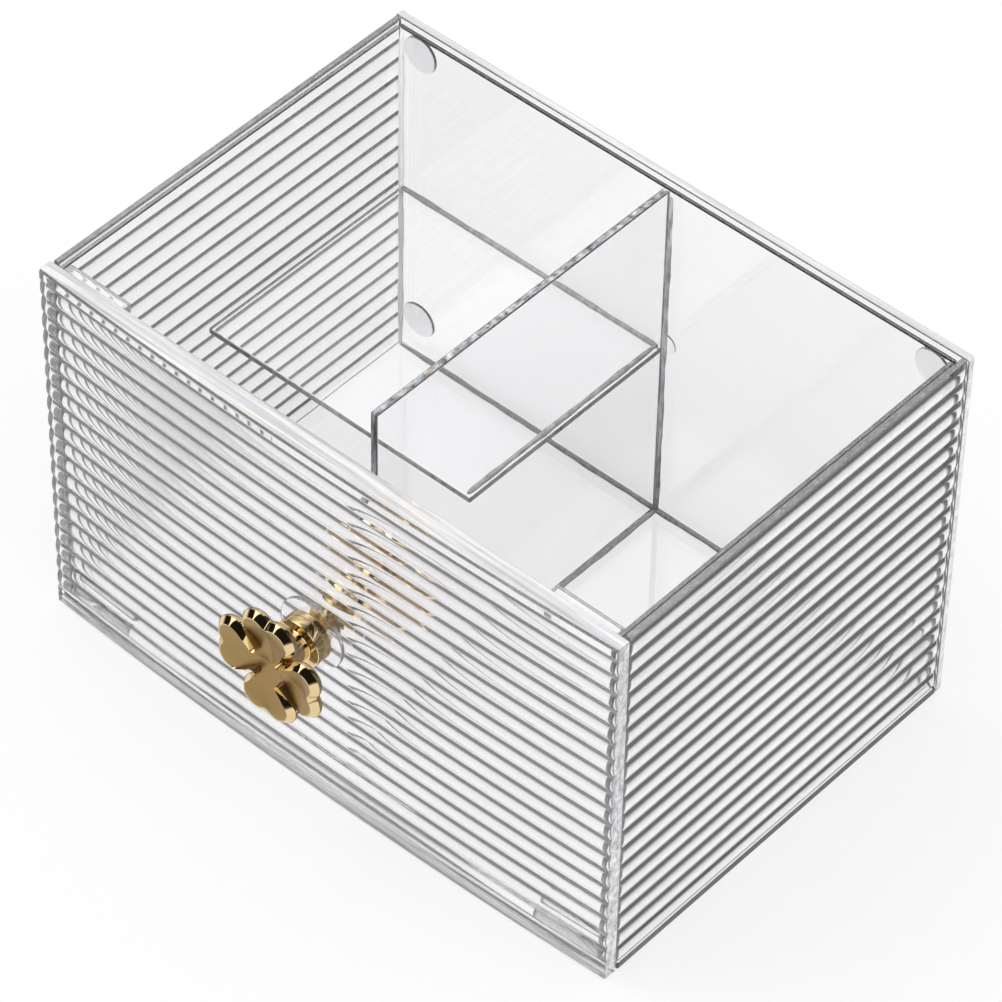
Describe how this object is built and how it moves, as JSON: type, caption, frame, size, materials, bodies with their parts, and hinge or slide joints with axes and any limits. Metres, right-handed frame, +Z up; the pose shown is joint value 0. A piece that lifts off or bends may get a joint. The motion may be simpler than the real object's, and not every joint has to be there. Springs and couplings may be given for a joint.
{
  "type": "cotton pad holder with drawer",
  "caption": "Open-topped clear box with ribbed sides, whose divided drawer with a bowed ribbed front, a part shelf and a clover-shaped metal knob slides out at the front.",
  "frame": {"origin": "centre of the closed box on its underside, midway between the ends of the drawer front and the back, without the front's bow and the knob", "axes": "+X across the box to the right as seen from the drawer front, +Y towards the back, +Z up"},
  "size_m": [0.15, 0.1211, 0.095],
  "materials": {
    "clear_plastic": "clear, polished",
    "clear_pad": "clear, soft, slightly milky",
    "gold_metal": "gold-coloured plating, satin face and polished rim",
    "screw_metal": "gold-coloured plating, plain"
  },
  "bodies": {
    "case": {"base_panel": "clear_plastic", "left_side_panel": "clear_plastic", "right_side_panel": "clear_plastic", "back_panel": "clear_plastic", "bumper_pad_lower_left": "clear_pad", "bumper_pad_lower_right": "clear_pad", "bumper_pad_upper_left": "clear_pad", "bumper_pad_upper_right": "clear_pad"},
    "drawer": {"drawer_front": "clear_plastic", "tray_floor": "clear_plastic", "tray_left_wall": "clear_plastic", "tray_right_wall": "clear_plastic", "tray_back_wall": "clear_plastic", "divider": "clear_plastic", "shelf": "clear_plastic", "corner_block_lower_left": "clear_plastic", "corner_block_lower_right": "clear_plastic", "corner_block_upper_left": "clear_plastic", "corner_block_upper_right": "clear_plastic", "knob_clover": "gold_metal", "knob_stem": "gold_metal", "knob_washer": "clear_plastic", "knob_screw": "screw_metal"}
  },
  "joints": [
    {"name": "drawer_slide", "type": "slide", "parent": "case", "child": "drawer", "axis": [0, -1, 0], "range_m": [0, 0.07]}
  ]
}
